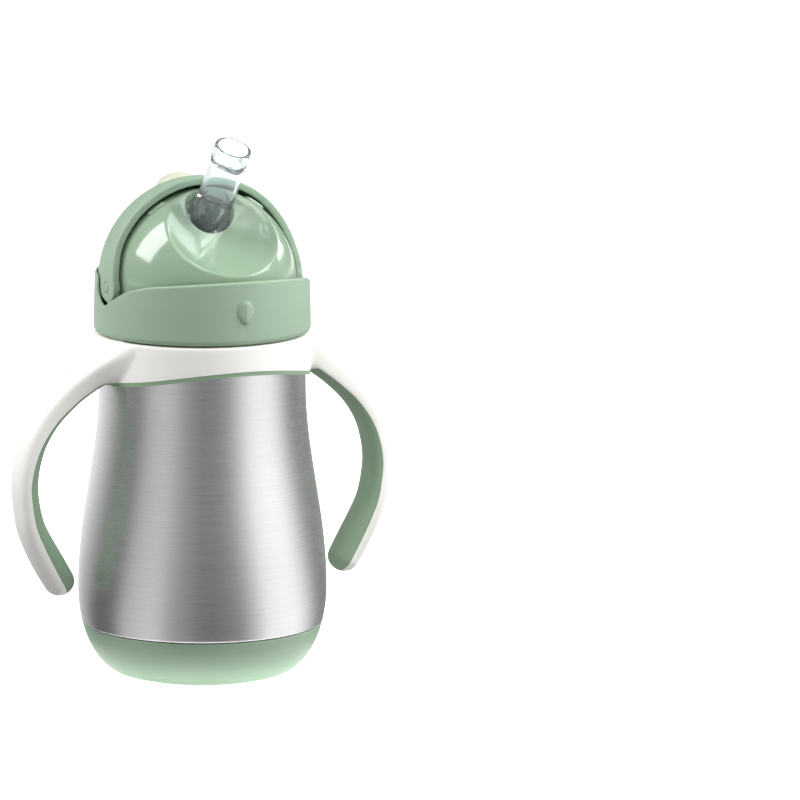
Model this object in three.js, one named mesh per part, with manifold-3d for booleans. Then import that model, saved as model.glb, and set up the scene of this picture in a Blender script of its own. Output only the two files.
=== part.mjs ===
// Insulated straw cup for a toddler: steel body, two-handle ring, screw lid with a swinging hood.
// Millimetres, +Z up, origin at the centre of the base. The front is -Y and the hood's hinge is along X.
import * as THREE from 'three';
import { mergeVertices } from 'three/addons/utils/BufferGeometryUtils.js';
import Module from 'manifold-3d';

const wasm = await Module();
wasm.setup();

// ---------- driving dimensions ----------
const segments = 32;          // sides of a round piece
const gap = 0.3;              // clearance between pieces that touch

const footRadius = 24;        // flat underside of the base
const bellyRadius = 39.2;     // widest part of the body
const bellyHeight = 27;
const neckedRadius = 32.4;    // straight stretch under the handle ring
const neckedHeight = 93;
const baseCapHeight = 16;
const baseCapWall = 2.2;
const steelWall = 0.6;
const vacuumGap = 3.4;
const shoulderHeight = 97;    // start of the shoulder that carries the ring
const shoulderRise = 3.2;
const neckRadius = 26.2;      // steel neck that carries the thread
const mouthHeight = 108;

const threadPitch = 4;
const threadRidge = 1;        // radius of the round thread ridge
const threadClearance = 1.5;  // neck to skirt, radially

const ringRadius = 33.9;      // outside of the handle ring
const ringTop = 108.3;
const ringFlange = 1.4;       // flange that sits on the shoulder
const ringFrontEdge = 100.4;  // lower edge of the ring at the front
const ringSideDrop = 5.4;     // how much lower the edge is at the handles
const linerEdge = 1.3;        // soft edge that shows under the ring
const handleReach = 63.8;     // axis to the outside of a handle
const handleTipHeight = 32.2; // centre of the rounded tip
const handleWidth = 12;

const collarRadius = 34;
const collarWall = 2.6;
const collarLedge = 1;
const pivotHeight = 124;      // hinge axis above the base
const armTipRadius = 5.3;
const seamSlope = 7.8;        // degrees, front seam above the horizontal
const earHeight = 3.2;        // rear guard above the hinge axis
const rearBulge = 1.02;       // the collar is a little deeper behind the hinge

const hoodHalfWidth = 32.6;   // hood's outside along the hinge axis
const hoodRadius = 33.2;      // hood's outside in the swinging plane
const hoodWall = 2.4;
const hoodRearEdge = 3.2;     // rear edge behind the hinge axis when closed
const hoodOpening = 77;       // degrees
const pinRadius = 2;
const pinClearance = 0.2;

const domeClearance = 1.4;    // between the open hood's inside and the dome
const domeRadius = hoodRadius - hoodWall - domeClearance;
const domeWall = 2;
const domeFlange = 1;
const padRise = 0.2;

const spoutRadius = 5.8;
const spoutWall = 1.1;
const spoutLength = 25.6;
const spoutLean = [0.095, -0.447, 0.889];
const spoutHoleRadius = spoutRadius + 1.2;
const spoutHoleY = -5.3;
const spoutHoleZ = domeRadius - domeWall - spoutHoleRadius + 1.6;   // above the hinge axis
const spoutHoleTilt = 60.5;   // degrees from the vertical

const dishRadius = domeRadius + 3.7;
const dishCentreY = -domeRadius - 4.6;
const dishCentreZ = spoutHoleZ + 16.5;                              // above the hinge axis

const strawRadius = 3.5;
const strawWall = 1;
const strawFloorClearance = 4;

const knobRadius = 7;
const knobRise = 5;
const knobAngle = 51.8;       // degrees above the front horizontal when closed
const dropWidth = 5.6;
const dropHeight = 7.3;
const dropRise = 0.9;

// ---------- finishes ----------
const sageMatte = { color: 0x9dbb9f, roughness: 0.55, metalness: 0 };
const sageGloss = { color: 0x8fae92, roughness: 0.12, metalness: 0 };
const sageSoft = { color: 0x85a387, roughness: 0.6, metalness: 0 };
const cream = { color: 0xf0f0ec, roughness: 0.4, metalness: 0 };
const knobCream = { color: 0xd2d6c0, roughness: 0.35, metalness: 0 };
const steel = { color: 0xb9b9ba, roughness: 0.3, metalness: 1 };
const silicone = { color: 0xe6eaec, roughness: 0.2, metalness: 0 };
const darkMetal = { color: 0x55585c, roughness: 0.6, metalness: 0.6 };

// ---------- solids ----------
const radians = (degrees) => degrees * Math.PI / 180;

// Closed solid from a three.js geometry, with shared corners merged and empty faces left out.
function solid(geometry) {
  const bare = geometry.clone();
  for (const name of Object.keys(bare.attributes)) {
    if (name !== 'position') bare.deleteAttribute(name);
  }
  const merged = mergeVertices(bare, 1e-4);
  const corners = merged.index.array;
  const faces = [];
  for (let i = 0; i < corners.length; i += 3) {
    const [a, b, c] = [corners[i], corners[i + 1], corners[i + 2]];
    if (a !== b && b !== c && c !== a) faces.push(a, b, c);
  }
  const places = merged.attributes.position.array;
  if (signedVolume(places, faces) < 0) faces.reverse();
  return new wasm.Manifold(new wasm.Mesh({
    numProp: 3,
    vertProperties: new Float32Array(places),
    triVerts: new Uint32Array(faces),
  }));
}

function signedVolume(places, faces) {
  const corner = (i) => new THREE.Vector3().fromArray(places, 3 * i);
  let total = 0;
  for (let i = 0; i < faces.length; i += 3) {
    total += corner(faces[i]).dot(corner(faces[i + 1]).cross(corner(faces[i + 2])));
  }
  return total;
}

function geometryOf(body) {
  const mesh = body.getMesh();
  const geometry = new THREE.BufferGeometry();
  geometry.setAttribute('position', new THREE.BufferAttribute(mesh.vertProperties, 3));
  geometry.setIndex(new THREE.BufferAttribute(mesh.triVerts, 1));
  geometry.computeVertexNormals();
  return geometry;
}

// Solid of revolution about Z from [radius, height] pairs.
function turned(profile, closed = true, sides = segments) {
  const points = profile.map(([r, z]) => new THREE.Vector2(r, z));
  if (closed && profile[0][0] > 0) points.push(points[0].clone());
  return solid(new THREE.LatheGeometry(points, sides).rotateX(Math.PI / 2));
}

// Round bar along Z between two heights.
const bar = (radius, low, high, sides = 24) =>
  turned([[0, low], [radius, low], [radius, high], [0, high]], false, sides);

// Outline of [y, z] pairs carried along X, centred on x = 0.
function alongX(outline, width) {
  const shape = new THREE.Shape(outline.map(([y, z]) => new THREE.Vector2(y, z)));
  const block = new THREE.ExtrudeGeometry(shape, { depth: width, bevelEnabled: false });
  block.translate(0, 0, -width / 2);
  block.applyMatrix4(new THREE.Matrix4().makeBasis(
    new THREE.Vector3(0, 1, 0), new THREE.Vector3(0, 0, 1), new THREE.Vector3(1, 0, 0)));
  return solid(block);
}

// Outline of [x, z] pairs carried along Y, centred on y = 0, with edges rounded by bevel.
function alongY(outline, width, bevel = 0) {
  const shape = new THREE.Shape(outline.map(([x, z]) => new THREE.Vector2(x, z)));
  const block = new THREE.ExtrudeGeometry(shape, {
    depth: width - 2 * bevel,
    bevelEnabled: bevel > 0,
    bevelThickness: bevel,
    bevelSize: 0.7 * bevel,
    bevelOffset: -0.7 * bevel,
    bevelSegments: 2,
  });
  block.translate(0, 0, -(width - 2 * bevel) / 2).rotateX(Math.PI / 2);
  return solid(block);
}

// Ellipsoid about the origin: half-width along X, radius in the YZ plane.
function ellipsoid(halfWidth, radius) {
  const ball = new THREE.SphereGeometry(1, segments, segments / 2).rotateZ(Math.PI / 2);
  return solid(ball.scale(halfWidth, radius, radius));
}

// The same solid with its own Z axis turned to a direction and moved to a place.
function aimed(body, direction, place) {
  const axis = new THREE.Vector3(...direction).normalize();
  const turn = new THREE.Quaternion().setFromUnitVectors(new THREE.Vector3(0, 0, 1), axis);
  const geometry = geometryOf(body).applyQuaternion(turn).translate(...place);
  return solid(geometry);
}

const steps = (count, f) => Array.from({ length: count + 1 }, (_, i) => f(i / count));

const circle = (radius, sides) => Array.from({ length: sides }, (_, i) => {
  const angle = 2 * Math.PI * i / sides;
  return new THREE.Vector2(radius * Math.cos(angle), radius * Math.sin(angle));
});

// ---------- body outline ----------
// Outside radius of the body: a quarter ellipse up to the belly, then half a cosine wave to the neck.
function bodyRadius(z) {
  if (z < bellyHeight) {
    const share = 1 - z / bellyHeight;
    return footRadius + (bellyRadius - footRadius) * Math.sqrt(1 - share * share);
  }
  const share = Math.min(1, (z - bellyHeight) / (neckedHeight - bellyHeight));
  return neckedRadius + (bellyRadius - neckedRadius) * 0.5 * (1 + Math.cos(Math.PI * share));
}

const bodyPoints = (low, high, count, inset) => steps(count, (t) => {
  const z = low + (high - low) * t;
  return [bodyRadius(z) - inset, z];
});

// ---------- cup ----------
const capFloor = baseCapWall + 0.1;
const plateBottom = capFloor + 0.6;
const plateTop = plateBottom + steelWall;
const plateRadius = footRadius + 2;
const shellInset = baseCapWall + gap;
const shellStep = baseCapHeight + gap;
const neckFoot = shoulderHeight + shoulderRise;
const lipThickness = 0.5;

function baseCap() {
  const outside = [[footRadius, 0], ...bodyPoints(1, baseCapHeight, 5, 0)];
  const inside = bodyPoints(capFloor, baseCapHeight, 4, baseCapWall).reverse();
  return turned([[0, 0], ...outside, ...inside, [0, capFloor]], false);
}

function outerShell() {
  const shellTop = mouthHeight - lipThickness - gap;
  const foot = bodyPoints(plateBottom, baseCapHeight, 3, shellInset);
  const wall = bodyPoints(shellStep, shoulderHeight, 8, 0);
  const step = [foot.at(-1)[0], shellStep];
  const outside = [...foot, step, ...wall, [neckRadius, neckFoot], [neckRadius, shellTop]];
  const inner = [
    [neckRadius - steelWall, shellTop],
    [neckRadius - steelWall, neckFoot - 0.35],
    [neckedRadius - steelWall, shoulderHeight - 0.3],
    ...bodyPoints(shellStep + steelWall, neckedHeight, 7, steelWall).reverse(),
    ...bodyPoints(plateTop, shellStep, 2, shellInset + steelWall).reverse(),
  ];
  const rim = plateRadius + gap;
  const thread = threadRidgeOn(neckRadius, neckFoot + 3.2, neckFoot + 6.2, 0)
    .subtract(bar(neckRadius - steelWall / 2, neckFoot, shellTop, segments));
  return turned([[rim, plateTop], [rim, plateBottom], ...outside, ...inner]).add(thread);
}

function innerLiner() {
  const inset = steelWall + vacuumGap;
  const floor = plateTop + vacuumGap;
  const neck = neckRadius - steelWall - gap;
  const lip = mouthHeight - lipThickness;
  const bend = neckedHeight + 0.5;
  const wall = bodyPoints(floor + 4, neckedHeight, 6, inset);
  const lining = wall.map(([r, z]) => [r - steelWall, z]).reverse();
  const bottomRadius = bodyRadius(floor) - inset - 3;
  const outside = [[0, floor], [bottomRadius, floor], [bottomRadius + 2, floor + 1], ...wall];
  const throat = [[neckedRadius - inset, bend], [neck, bend + 4.5], [neck, lip], [neckRadius, lip]];
  const back = [[neckRadius, mouthHeight], [neck - steelWall, mouthHeight], [neck - steelWall, bend + 4.2]];
  const inner = [[neckedRadius - inset - steelWall, bend - 0.3], ...lining.slice(1)];
  const basin = [[bottomRadius + 1.8, floor + steelWall + 1], [bottomRadius, floor + steelWall]];
  return turned([...outside, ...throat, ...back, ...inner, ...basin, [0, floor + steelWall]], false);
}

const basePlate = () => bar(plateRadius, plateBottom, plateTop, segments);

const getterPellet = () => bar(4, plateTop + gap, plateTop + vacuumGap - gap);

// A round ridge on a right-hand helix: low and high are the heights of its ends.
function threadRidgeOn(radius, low, high, shift) {
  const turns = (high - low) / threadPitch;
  const stations = steps(Math.ceil(turns * 16), (t) => {
    const angle = 2 * Math.PI * (turns * t + (low - shift) / threadPitch);
    return new THREE.Vector3(radius * Math.cos(angle), radius * Math.sin(angle), low + (high - low) * t);
  });
  const path = new THREE.CatmullRomCurve3(stations);
  const section = new THREE.Shape(circle(threadRidge, 6));
  return solid(new THREE.ExtrudeGeometry(section, { steps: stations.length, extrudePath: path }));
}

// ---------- handle ring ----------
// Stations of a handle's spine from the ring to the tip: share of the reach, share of the drop,
// half thickness, and how far the seam with the soft liner lies outside the spine.
const handleStations = [
  [0.14, 0.07, 4.2, -2.7],
  [0.49, 0.17, 3.9, -2.1],
  [0.715, 0.255, 3.75, -1.6],
  [0.885, 0.355, 3.7, -1.0],
  [0.973, 0.455, 3.7, -0.4],
  [1.0, 0.555, 3.75, 0.0],
  [0.985, 0.647, 3.85, 0.05],
  [0.936, 0.74, 4.2, 0.1],
  [0.836, 0.825, 4.6, 0.2],
  [0.712, 0.91, 4.9, 0.35],
  [0.565, 1.0, 4.85, 0.6],
];
const handleThickest = 3.75;

// Points at a distance outside the spine, where offset(half, seam) gives that distance.
function handleSide(offset) {
  const reach = handleReach - handleThickest - ringRadius;
  const top = ringFrontEdge + 2;
  const drop = top - handleTipHeight;
  const spine = new THREE.SplineCurve(handleStations.map(([share, fall]) =>
    new THREE.Vector2(ringRadius + reach * share, top - drop * fall)));
  const last = handleStations.length - 1;
  return handleStations.map(([, , half, seam], i) => {
    const point = spine.getPoint(i / last);
    const tangent = spine.getTangent(i / last);
    const distance = offset(half, seam);
    return [point.x - tangent.y * distance, point.y + tangent.x * distance];
  });
}

function handleTip() {
  const half = handleStations.at(-1)[2];
  const outer = handleSide((h) => h).at(-1);
  const inner = handleSide((h) => -h).at(-1);
  const middle = [(outer[0] + inner[0]) / 2, (outer[1] + inner[1]) / 2];
  const start = Math.atan2(outer[1] - middle[1], outer[0] - middle[0]);
  return steps(5, (t) => {
    const angle = start - Math.PI * t;
    return [middle[0] + half * Math.cos(angle), middle[1] + half * Math.sin(angle)];
  }).slice(1, -1);
}

const ringEdge = (x) => ringFrontEdge - ringSideDrop * (x / ringRadius) ** 2;

// Whole handle on the +X side, soft liner included.
function handleBlank() {
  const root = neckRadius;
  const low = ringEdge(ringRadius) - linerEdge;
  const outer = handleSide((half) => half);
  const inner = handleSide((half) => -half).reverse();
  const fillet = [[root, ringTop - 0.8], [ringRadius, ringTop - 0.8], [ringRadius + 2.4, ringTop - 4.6]];
  return alongY([...fillet, ...outer, ...handleTip(), ...inner, [root, low]], handleWidth, 3);
}

// Everything outside the seam between the frame and its liner, moved by shift.
function seamBlock(shift) {
  const seam = handleSide((half, offset) => offset + shift);
  const root = neckRadius - 1;
  const edge = steps(4, (t) => {
    const x = root + (ringRadius - root) * t;
    return [x, ringEdge(x) + shift];
  });
  const beyond = handleReach + 20;
  const end = seam.at(-1);
  return alongY([...edge, ...seam, [end[0] - 5, end[1] - 9],
    [end[0] - 5, 0], [beyond, 0], [beyond, ringTop + 5], [root, ringTop + 5]], 60);
}

const mirrored = (body) => solid(geometryOf(body).scale(-1, 1, 1));

const onBothSides = (ring, arm) => ring.add(arm).add(mirrored(arm));

// Region above the curved lower edge of the ring, lowered by drop.
function aboveRingEdge(drop) {
  const span = ringRadius + 6;
  const edge = steps(16, (t) => {
    const x = span * (2 * t - 1);
    return [x, ringEdge(Math.min(Math.abs(x), ringRadius)) - drop];
  });
  return alongY([...edge, [span, ringTop + 9], [-span, ringTop + 9]], 120);
}

const bore = () => bar(neckedRadius + gap, 0, ringTop + 9, segments);

const collarLedgeRadius = domeRadius + gap + 0.1;

function handleRing() {
  const seat = neckRadius + threadRidge + gap;
  const clear = collarLedgeRadius - 0.1;
  const band = turned([
    [ringRadius, ringTop], [clear, ringTop], [clear, neckFoot + ringFlange + 0.4],
    [seat, neckFoot + ringFlange + 0.4], [seat, neckFoot + 0.4],
    [neckedRadius + gap, shoulderHeight + gap], [neckedRadius + gap, ringFrontEdge - ringSideDrop - 3],
    [ringRadius, ringFrontEdge - ringSideDrop - 3],
  ]).intersect(aboveRingEdge(0));
  const arm = handleBlank().intersect(seamBlock(0)).subtract(bore());
  return onBothSides(band, arm);
}

function gripLiner() {
  const low = ringFrontEdge - ringSideDrop - linerEdge - 1;
  const band = turned([[ringRadius - 0.3, ringFrontEdge + 1], [neckedRadius + gap, ringFrontEdge + 1],
    [neckedRadius + gap, low], [ringRadius - 0.3, low]])
    .intersect(aboveRingEdge(linerEdge))
    .subtract(aboveRingEdge(gap));
  const arm = handleBlank().subtract(seamBlock(-gap)).subtract(bore());
  return onBothSides(band, arm);
}

// ---------- lid ----------
const skirtInside = neckRadius + threadClearance;
const skirtBottom = neckFoot + ringFlange + 0.7;
const collarBottom = ringTop + gap;
const ledgeTop = collarBottom + collarLedge;
const flangeBottom = ledgeTop + gap;
const flangeTop = flangeBottom + domeFlange;
const collarInside = collarRadius - collarWall;

// Seam between hood and collar seen from the side, as [y, z] from the hinge axis, front to rear.
function seamLine(drop) {
  const rise = Math.tan(radians(seamSlope));
  const tip = armTipRadius + drop;
  const arc = steps(6, (t) => {
    const angle = radians(222 + 118 * t);
    return [tip * Math.cos(angle), tip * Math.sin(angle)];
  });
  return [
    [-collarRadius - 2, (collarRadius + 2) * rise - drop], [-25, 25 * rise - drop],
    [-18, 18 * rise - 0.25 - drop], [-13, 0.6 - drop], [-9, -1.2 - drop], [-6, -2.9 - drop], ...arc,
  ];
}

function lidCollar() {
  const top = pivotHeight + earHeight;
  const profile = [
    [0, collarBottom], [collarRadius - 1.6, collarBottom], [collarRadius - 0.5, collarBottom + 0.5],
    [collarRadius, collarBottom + 1.6], [collarRadius - 0.2, pivotHeight - 4], [collarRadius - 0.8, top],
    [0, top],
  ];
  const bulge = new THREE.LatheGeometry(profile.map(([r, z]) => new THREE.Vector2(r, z)), segments)
    .rotateX(Math.PI / 2);
  const places = bulge.attributes.position;
  for (let i = 0; i < places.count; i += 1) {
    if (places.getY(i) > 0) places.setY(i, places.getY(i) * rearBulge);
  }
  const inside = bar(collarInside, ledgeTop, top + 1, segments);
  const ledge = bar(collarLedgeRadius, collarBottom - 1, ledgeTop + 1, segments);
  const swing = ellipsoid(hoodHalfWidth + 0.25, hoodRadius + 0.25).translate(0, 0, pivotHeight);
  const rear = alongX([[-armTipRadius - 1.2, collarBottom], [60, collarBottom], [60, top + 9],
    [-armTipRadius - 1.2, top + 9]], 90);
  const ear = [[armTipRadius + 0.6, -2], [armTipRadius + 0.9, earHeight - 2.6],
    [armTipRadius + 2.2, earHeight - 0.6], [armTipRadius + 4.2, earHeight],
    [armTipRadius + 4.2, earHeight + 9]];
  const notch = alongX([...seamLine(gap + 0.05), ...ear, [-collarRadius - 2, earHeight + 9]], 90)
    .translate(0, 0, pivotHeight);
  return solid(bulge).subtract(inside).subtract(ledge).subtract(swing.intersect(rear)).subtract(notch)
    .add(dropMarker());
}

// Raised drop on the front of the collar, point down: a turned drop pressed flat.
function dropMarker() {
  const half = dropWidth / 2;
  const tall = dropHeight / 2;
  const sunk = 0.6;
  const profile = [[0, 1], [0.55, 0.88], [0.88, 0.62], [1, 0.26], [0.86, -0.22], [0.42, -0.74], [0, -1]]
    .map(([r, z]) => [r * half, z * tall]);
  const geometry = geometryOf(turned(profile, false, 12)).scale(1, (dropRise + sunk) / half, 1);
  const height = (collarBottom + pivotHeight + earHeight) / 2 - gap;
  return solid(geometry.translate(0, sunk - collarRadius, height));
}

const spoutHoleAxis = [0, -Math.sin(radians(spoutHoleTilt)), Math.cos(radians(spoutHoleTilt))];
const spoutHole = [0, spoutHoleY, pivotHeight + spoutHoleZ];
const alongHole = (distance) => spoutHole.map((value, i) => value + spoutHoleAxis[i] * distance);

const ventAngle = 35;         // degrees behind the vertical
const ventAxis = [0, Math.sin(radians(ventAngle)), Math.cos(radians(ventAngle))];
const ventStem = 1.4;

function drinkingDome() {
  const arc = (radius) => steps(7, (t) => {
    const angle = Math.PI / 2 * t;
    return [radius * Math.sin(angle), pivotHeight + radius * Math.cos(angle)];
  });
  const inner = domeRadius - domeWall;
  const skirtOutside = domeRadius - 0.1;
  const sealSeat = neckRadius - steelWall * 2 - gap - 0.3;
  const dish = (extra) => ellipsoid(dishRadius + extra, dishRadius + extra)
    .translate(0, dishCentreY, pivotHeight + dishCentreZ);
  const flange = collarInside - gap;
  const outside = turned([...arc(domeRadius), [domeRadius, flangeTop], [flange, flangeTop],
    [flange, flangeBottom], [skirtOutside, flangeBottom], [skirtOutside, skirtBottom],
    [0, skirtBottom]], false).subtract(dish(0));
  const cavity = turned([...arc(inner), [inner, flangeTop], [0, flangeTop]], false).subtract(dish(domeWall));
  const below = turned([[0, flangeTop + 1], [sealSeat, flangeTop + 1], [sealSeat, flangeBottom],
    [skirtInside, flangeBottom], [skirtInside, skirtBottom - 1], [0, skirtBottom - 1]], false);
  const hole = aimed(bar(spoutHoleRadius, -7, 9, segments), spoutHoleAxis, spoutHole);
  const vent = aimed(bar(ventStem + 0.2, domeRadius - 5, domeRadius + 2), ventAxis, [0, 0, pivotHeight]);
  const pinHoles = onX(bar(pinRadius + pinClearance, domeRadius - 6, domeRadius + 4));
  const bosses = onX(bar(pinRadius + 2, domeRadius - 5, domeRadius - 0.9));
  const ridge = threadRidgeOn(skirtInside, skirtBottom + 1.3, skirtBottom + 4.9, threadPitch / 2);
  return outside.subtract(cavity).subtract(below).subtract(hole).add(bosses).subtract(pinHoles).subtract(vent)
    .add(pads()).add(ridge);
}

// A bar along the hinge axis and its mirror image.
function onX(piece) {
  const right = aimed(piece, [1, 0, 0], [0, 0, pivotHeight]);
  return right.add(mirrored(right));
}

// Two low pads on the dome that the hood's rim rests behind when it is open.
function pads() {
  const pad = solid(new THREE.BoxGeometry(6, 2.6, 3));
  const tilt = 35;
  const distance = domeRadius + padRise - 1.6;
  const place = [distance * Math.sin(radians(tilt)), -3, pivotHeight + distance * Math.cos(radians(tilt))];
  const right = solid(geometryOf(pad).rotateY(radians(tilt)).translate(...place));
  return right.add(mirrored(right));
}

function ventValve() {
  const head = domeRadius + 0.15;
  const foot = domeRadius - domeWall - 0.3;
  const body = turned([[0, head + 0.6], [2.4, head + 0.6], [2.6, head], [ventStem, head], [ventStem, foot],
    [2.4, foot], [2.4, foot - 0.8], [1.2, foot - 1.2], [0.5, foot - 3.6], [0, foot - 3.6]], false, 18);
  return aimed(body, ventAxis, [0, 0, pivotHeight]);
}

function hingePin(side) {
  const pin = bar(pinRadius, domeRadius - 4.6, hoodHalfWidth + 0.3);
  return aimed(pin, [side, 0, 0], [0, 0, pivotHeight]);
}

function lidGasket() {
  const low = mouthHeight + 0.2;
  const high = flangeBottom - 0.2;
  const inner = neckRadius - 1.2;
  const outer = neckRadius + 1;
  return turned([[inner, low + 0.3], [inner + 0.6, low], [outer - 0.3, low], [outer, low + 0.3],
    [outer, high], [inner, high]]);
}

// ---------- spout and straw ----------
const nippleRadius = 2.1;

function spoutBase() {
  const flange = -domeWall - 0.4;
  const body = turned([
    [4, 0.4], [spoutHoleRadius - gap, 0.4], [spoutHoleRadius - gap, flange], [spoutHoleRadius + 0.5, flange],
    [spoutHoleRadius + 0.5, flange - 1], [nippleRadius, flange - 2.4], [nippleRadius, flange - 8],
    [nippleRadius - 0.8, flange - 8], [nippleRadius - 0.8, flange - 2], [4, flange - 0.6],
  ], true, 24);
  return aimed(body, spoutHoleAxis, spoutHole);
}

const spoutStart = spoutHole.map((value, i) =>
  value + (0.38 * spoutHoleAxis[i] + 0.55 * spoutLean[i]) * spoutRadius);

function spoutTip() {
  const length = spoutLength - 4.5;
  const inside = spoutRadius - spoutWall;
  const membrane = length - 5.5;
  return aimed(turned([
    [spoutRadius + 0.8, 0], [spoutRadius, 3], [spoutRadius, length - 0.7], [spoutRadius - 0.5, length],
    [inside, length], [inside, membrane + 0.4], [1, membrane + 0.4], [1, membrane - 0.4],
    [inside, membrane - 0.4], [inside, 0],
  ], true, 24), spoutLean, spoutStart);
}

function drinkingStraw() {
  const floor = plateTop + vacuumGap + steelWall + strawFloorClearance;
  const start = -domeWall - 0.4 - 4;
  const bend = alongHole(start - 5);
  const route = [
    alongHole(start), alongHole(start - 2), alongHole(start - 4.5),
    [0, bend[1] + 5, bend[2] - 4.5], [0, bend[1] + 6.6, bend[2] - 13], [0, bend[1] + 4, bend[2] - 32],
    [0, 3, bend[2] - 75], [0, 0, floor],
  ];
  const path = new THREE.CatmullRomCurve3(route.map((point) => new THREE.Vector3(...point)));
  const section = new THREE.Shape(circle(strawRadius, 8));
  section.holes.push(new THREE.Path(circle(strawRadius - strawWall, 8)));
  return solid(new THREE.ExtrudeGeometry(section, { steps: 22, extrudePath: path }));
}

// ---------- hood, drawn closed about the hinge axis ----------
const knobAxis = [0, -Math.cos(radians(knobAngle)), Math.sin(radians(knobAngle))];
const knobStem = 2.6;

function flipHood() {
  const top = hoodRadius + 8;
  const outline = [...seamLine(0), [hoodRearEdge + 1.9, 1.5], [hoodRearEdge + 0.8, 6], [hoodRearEdge, 12],
    [hoodRearEdge, top], [-collarRadius - 2, top]];
  const hole = aimed(bar(knobStem + 0.2, hoodRadius - 6, hoodRadius + 4), knobAxis, [0, 0, 0]);
  const reach = hoodHalfWidth + 5;
  const pinHole = aimed(bar(pinRadius + pinClearance, -reach, reach), [1, 0, 0], [0, 0, 0]);
  return ellipsoid(hoodHalfWidth, hoodRadius)
    .subtract(ellipsoid(hoodHalfWidth - hoodWall, hoodRadius - hoodWall))
    .intersect(alongX(outline, 90))
    .subtract(hole)
    .subtract(pinHole);
}

function thumbKnob() {
  const base = hoodRadius - 1;
  const crown = hoodRadius + knobRise;
  const head = turned([...steps(6, (t) => {
    const angle = Math.PI / 2 * t;
    return [knobRadius * Math.sin(angle), base + 1.2 + (crown - base - 1.2) * Math.cos(angle)];
  }), [knobRadius, base], [0, base]], false, 24)
    .subtract(aimed(ellipsoid(hoodHalfWidth + 0.25, hoodRadius + 0.25), [0, 0, 1], [0, 0, 0]));
  const stem = bar(knobStem, hoodRadius - hoodWall + 0.3, hoodRadius + 1.5);
  return aimed(head.add(stem), knobAxis, [0, 0, 0]);
}

// ---------- assembly ----------
const cup = new THREE.Group();

function addPiece(name, body, finish, group = cup) {
  const mesh = new THREE.Mesh(geometryOf(body), new THREE.MeshStandardMaterial(finish));
  mesh.name = name;
  group.add(mesh);
}

addPiece('base_cap', baseCap(), sageMatte);
addPiece('base_plate', basePlate(), steel);
addPiece('getter_pellet', getterPellet(), darkMetal);
addPiece('outer_shell', outerShell(), steel);
addPiece('inner_liner', innerLiner(), steel);
addPiece('handle_ring', handleRing(), cream);
addPiece('grip_liner', gripLiner(), sageSoft);
addPiece('lid_gasket', lidGasket(), silicone);
addPiece('lid_collar', lidCollar(), sageMatte);
addPiece('drinking_dome', drinkingDome(), sageGloss);
addPiece('hinge_pin_right', hingePin(1), sageMatte);
addPiece('hinge_pin_left', hingePin(-1), sageMatte);
addPiece('vent_valve', ventValve(), silicone);
addPiece('spout_base', spoutBase(), silicone);
addPiece('spout_tip', spoutTip(), silicone);
addPiece('drinking_straw', drinkingStraw(), silicone);

const hood = new THREE.Group();
hood.position.z = pivotHeight;
hood.rotation.x = -radians(hoodOpening);
addPiece('flip_hood', flipHood(), sageMatte, hood);
addPiece('thumb_knob', thumbKnob(), knobCream, hood);
cup.add(hood);

export default cup;
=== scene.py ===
from collections import Counter
from math import cos, pi, radians, sin, tan
import bmesh
import bpy
import numpy as np
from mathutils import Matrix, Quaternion, Vector


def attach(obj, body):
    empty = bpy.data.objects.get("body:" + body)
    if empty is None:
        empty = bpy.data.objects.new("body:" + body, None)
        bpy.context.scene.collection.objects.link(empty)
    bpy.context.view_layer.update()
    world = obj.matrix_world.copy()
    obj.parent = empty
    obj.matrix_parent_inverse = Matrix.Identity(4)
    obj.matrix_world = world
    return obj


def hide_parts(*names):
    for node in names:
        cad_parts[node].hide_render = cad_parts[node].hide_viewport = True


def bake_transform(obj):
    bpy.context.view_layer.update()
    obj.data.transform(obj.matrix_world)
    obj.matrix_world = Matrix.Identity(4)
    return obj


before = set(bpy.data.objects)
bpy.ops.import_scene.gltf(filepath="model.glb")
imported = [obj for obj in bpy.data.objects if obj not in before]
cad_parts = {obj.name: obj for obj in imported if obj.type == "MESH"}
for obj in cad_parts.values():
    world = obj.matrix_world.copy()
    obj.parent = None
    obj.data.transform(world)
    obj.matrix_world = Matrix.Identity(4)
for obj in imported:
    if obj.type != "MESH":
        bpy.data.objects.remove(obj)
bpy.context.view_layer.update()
millimetre = 0.001
pivot = np.array([0.0, 0.0, 124.0])      # hinge of the hood, on the cup's axis
hoodOpening = 77                         # degrees


# ---- surfaces ----

# New object for a mesh, light or camera, linked to the scene.
def linked(name, data):
    item = bpy.data.objects.new(name, data)
    bpy.context.scene.collection.objects.link(item)
    return item


# New mesh object from points in metres.
def meshObject(name, points, faces):
    mesh = bpy.data.meshes.new(name)
    mesh.from_pydata(points, [], faces)
    return linked(name, mesh)


# Faces of a grid of rows by columns: each face joins four neighbours, and a closed direction wraps round.
def gridFaces(rows, columns, wrapRows, wrapColumns, first):
    i, j = np.meshgrid(np.arange(rows if wrapRows else rows - 1),
                       np.arange(columns if wrapColumns else columns - 1), indexing="ij")
    below, beside = (i + 1) % rows, (j + 1) % columns
    corners = [i * columns + j, below * columns + j, below * columns + beside, i * columns + beside]
    return first + np.stack(corners, -1).reshape(-1, 4)


# One object from closed grids of points in millimetres. Each grid is (points, wrapRows, wrapColumns).
def surfaceObject(name, grids, sharpAngle=38):
    points, faces, first = [], [], 0
    for grid, wrapRows, wrapColumns in grids:
        points.append(grid.reshape(-1, 3))
        faces.append(gridFaces(grid.shape[0], grid.shape[1], wrapRows, wrapColumns, first))
        first += grid.shape[0] * grid.shape[1]
    piece = meshObject(name, np.concatenate(points) * millimetre, np.concatenate(faces).tolist())
    return cleaned(piece, sharpAngle)


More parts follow.
